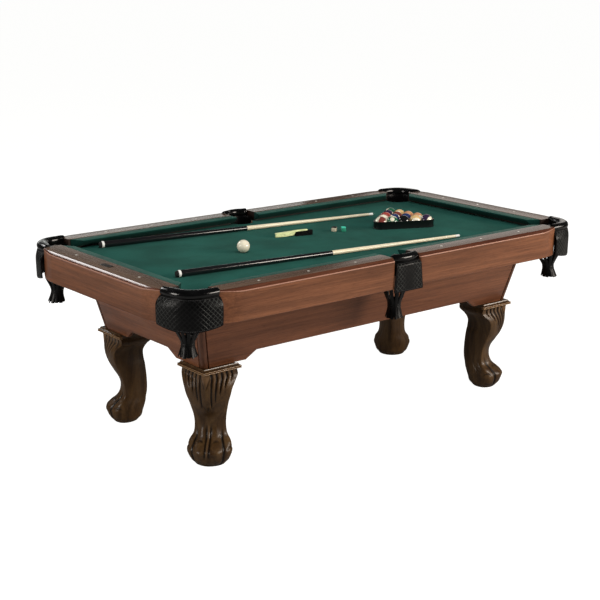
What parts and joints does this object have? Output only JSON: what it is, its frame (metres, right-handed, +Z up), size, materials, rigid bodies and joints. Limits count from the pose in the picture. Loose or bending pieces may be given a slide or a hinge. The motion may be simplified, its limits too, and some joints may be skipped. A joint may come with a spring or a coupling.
{
  "type": "pool table",
  "caption": "Drop-pocket pool table on four carved claw-foot legs, with a tapered walnut cabinet, leather pockets, green cloth and a loose play set.",
  "frame": {"origin": "on the floor, under the middle of the table", "axes": "+X along the table to its right end, +Y across it to the far side, +Z up"},
  "size_m": [2.286, 1.2894, 0.8275],
  "materials": {
    "walnut_laminate": "satin walnut-grained laminate, reddish brown, on the aprons, panels and posts",
    "rail_top_laminate": "satin greyish walnut laminate on the rail tops",
    "dark_walnut": "semi-gloss dark walnut stain over carving, with rubbed edges",
    "bed_cloth": "napped green billiard cloth",
    "cushion_cloth": "napped green billiard cloth over rubber",
    "bed_board": "raw fibreboard",
    "beam_pine": "planed pine",
    "black_leather": "glossy black leather, cross-stitched on the shields",
    "sight": "pearl inlay dots in the rail tops",
    "cue_shaft": "lacquered maple",
    "cue_butt": "gloss black lacquer",
    "cue_ring": "white collar ring",
    "cue_bumper": "black rubber bumper",
    "rack_plastic": "black moulded plastic",
    "cue_ball": "polished resin, off-white",
    "ball_yellow": "polished resin",
    "ball_blue": "polished resin",
    "ball_red": "polished resin",
    "ball_purple": "polished resin",
    "ball_orange": "polished resin",
    "ball_green": "polished resin",
    "ball_maroon": "polished resin",
    "ball_black": "polished resin",
    "brush_wood": "pale lacquered wood",
    "bristle": "black bristle",
    "chalk_green": "powdery green chalk in a paper sleeve",
    "chalk_spent": "powdery chalk, worn dark inside"
  },
  "bodies": {
    "table": {"bed_board": "bed_board", "bed_cloth": "bed_cloth", "rail_near_left": "walnut_laminate", "rail_near_right": "walnut_laminate", "rail_far_left": "walnut_laminate", "rail_far_right": "walnut_laminate", "rail_end_left": "walnut_laminate", "rail_end_right": "walnut_laminate", "cushion_near_left": "cushion_cloth", "cushion_near_right": "cushion_cloth", "cushion_far_left": "cushion_cloth", "cushion_far_right": "cushion_cloth", "cushion_end_left": "cushion_cloth", "cushion_end_right": "cushion_cloth", "pocket_near_left": "black_leather", "pocket_near_middle": "black_leather", "pocket_near_right": "black_leather", "pocket_far_left": "black_leather", "pocket_far_middle": "black_leather", "pocket_far_right": "black_leather", "panel_near": "walnut_laminate", "panel_far": "walnut_laminate", "panel_left": "walnut_laminate", "panel_right": "walnut_laminate", "corner_post_near_left": "walnut_laminate", "corner_post_near_right": "walnut_laminate", "corner_post_far_left": "walnut_laminate", "corner_post_far_right": "walnut_laminate", "leg_near_left": "dark_walnut", "leg_near_right": "dark_walnut", "leg_far_left": "dark_walnut", "leg_far_right": "dark_walnut", "leg_cap_near_left": "dark_walnut", "leg_cap_near_right": "dark_walnut", "leg_cap_far_left": "dark_walnut", "leg_cap_far_right": "dark_walnut", "cross_beam_left": "beam_pine", "cross_beam_right": "beam_pine"},
    "cue_near": {"cue_near": "cue_shaft"},
    "cue_far": {"cue_far": "cue_shaft"},
    "triangle_rack": {"triangle_rack": "rack_plastic"},
    "racked_balls": {"ball_01": "ball_maroon", "ball_02": "ball_green", "ball_03": "ball_red", "ball_04": "ball_black", "ball_05": "ball_blue", "ball_06": "ball_red", "ball_07": "ball_yellow", "ball_08": "ball_blue", "ball_09": "ball_maroon", "ball_10": "ball_purple", "ball_11": "ball_purple", "ball_12": "ball_orange", "ball_13": "ball_orange", "ball_14": "ball_yellow", "ball_15": "ball_green"},
    "cue_ball": {"cue_ball": "cue_ball"},
    "bed_brush": {"bed_brush": "brush_wood"},
    "chalk_cube_spent": {"chalk_cube_spent": "chalk_spent"},
    "chalk_cube_green": {"chalk_cube_green": "chalk_green"}
  },
  "joints": [
    {"name": "cue_near_lift", "type": "slide", "parent": "table", "child": "cue_near", "axis": [0, 0, 1], "range_m": [0, 0.25]},
    {"name": "cue_far_lift", "type": "slide", "parent": "table", "child": "cue_far", "axis": [0, 0, 1], "range_m": [0, 0.25]},
    {"name": "triangle_rack_lift", "type": "slide", "parent": "table", "child": "triangle_rack", "axis": [0, 0, 1], "range_m": [0, 0.25]},
    {"name": "racked_balls_lift", "type": "slide", "parent": "table", "child": "racked_balls", "axis": [0, 0, 1], "range_m": [0, 0.25]},
    {"name": "cue_ball_lift", "type": "slide", "parent": "table", "child": "cue_ball", "axis": [0, 0, 1], "range_m": [0, 0.25]},
    {"name": "bed_brush_lift", "type": "slide", "parent": "table", "child": "bed_brush", "axis": [0, 0, 1], "range_m": [0, 0.25]},
    {"name": "chalk_cube_spent_lift", "type": "slide", "parent": "table", "child": "chalk_cube_spent", "axis": [0, 0, 1], "range_m": [0, 0.25]},
    {"name": "chalk_cube_green_lift", "type": "slide", "parent": "table", "child": "chalk_cube_green", "axis": [0, 0, 1], "range_m": [0, 0.25]}
  ]
}
